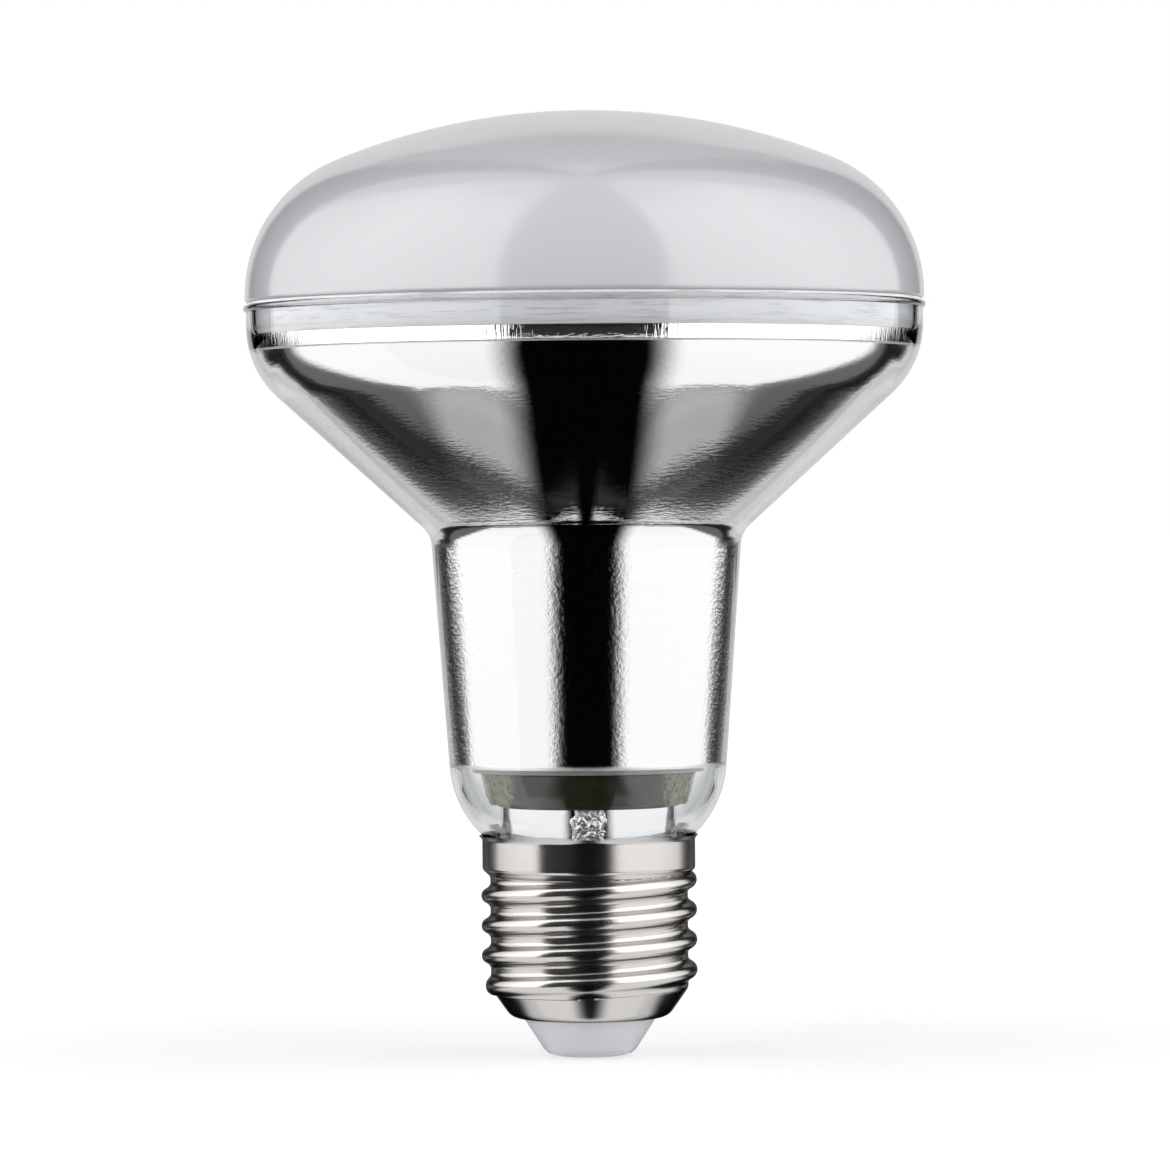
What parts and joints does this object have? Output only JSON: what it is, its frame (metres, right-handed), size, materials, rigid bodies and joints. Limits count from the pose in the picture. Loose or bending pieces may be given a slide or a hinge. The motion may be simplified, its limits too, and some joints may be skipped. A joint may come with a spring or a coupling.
{
  "type": "reflector bulb",
  "caption": "Mushroom-shaped reflector lamp with a frosted dome, silvered glass bowl and neck, and a screw cap with a centre contact.",
  "frame": {"origin": "tip of the centre contact, where it touches the holder's spring", "axes": "+Z along the lamp's axis from the contact to the top of the dome; +X and +Y across it, with the pictured side towards -Y"},
  "size_m": [0.0824, 0.0824, 0.1142],
  "materials": {
    "frosted_glass": "satin etched glass",
    "clear_glue": "clear silicone glue",
    "mirrored_glass": "clear glass, silvered inside from the rim to the foot of the neck",
    "nickel_cap": "satin nickel plate",
    "white_insulator": "white moulded plastic",
    "contact_metal": "nickel plate",
    "cement": "matt cement",
    "polished_aluminium": "polished",
    "olive_glue": "smooth, slightly glossy",
    "grey_pad": "matt",
    "white_board": "white solder mask",
    "led_package": "white frame round a yellow phosphor",
    "wire_sleeve": "insulated wire",
    "white_housing": "moulded",
    "green_board": "solder mask",
    "can_sleeve": "shrunk sleeve",
    "film_box": "moulded box",
    "ferrite": "ground ferrite",
    "winding": "enamelled wire under tape",
    "choke_drum": "ferrite drum",
    "black_package": "moulded",
    "resistor_body": "lacquer"
  },
  "bodies": {
    "root": {"front_dome": "frosted_glass", "rim_adhesive": "clear_glue", "reflector_glass": "mirrored_glass", "screw_cap": "nickel_cap", "cap_insulator": "white_insulator", "centre_contact": "contact_metal", "capping_cement": "cement", "heat_spreader": "polished_aluminium", "thermal_adhesive": "olive_glue", "thermal_pad": "grey_pad", "led_board": "white_board", "led_chips": "led_package", "led_leads": "wire_sleeve", "driver_housing": "white_housing", "driver_board": "green_board", "input_capacitor": "can_sleeve", "output_capacitor": "can_sleeve", "film_capacitor": "film_box", "transformer_core": "ferrite", "transformer_winding": "winding", "line_choke": "choke_drum", "bridge_rectifier": "black_package", "controller_chip": "black_package", "fusible_resistor": "resistor_body", "shell_lead": "wire_sleeve"}
  },
  "joints": []
}
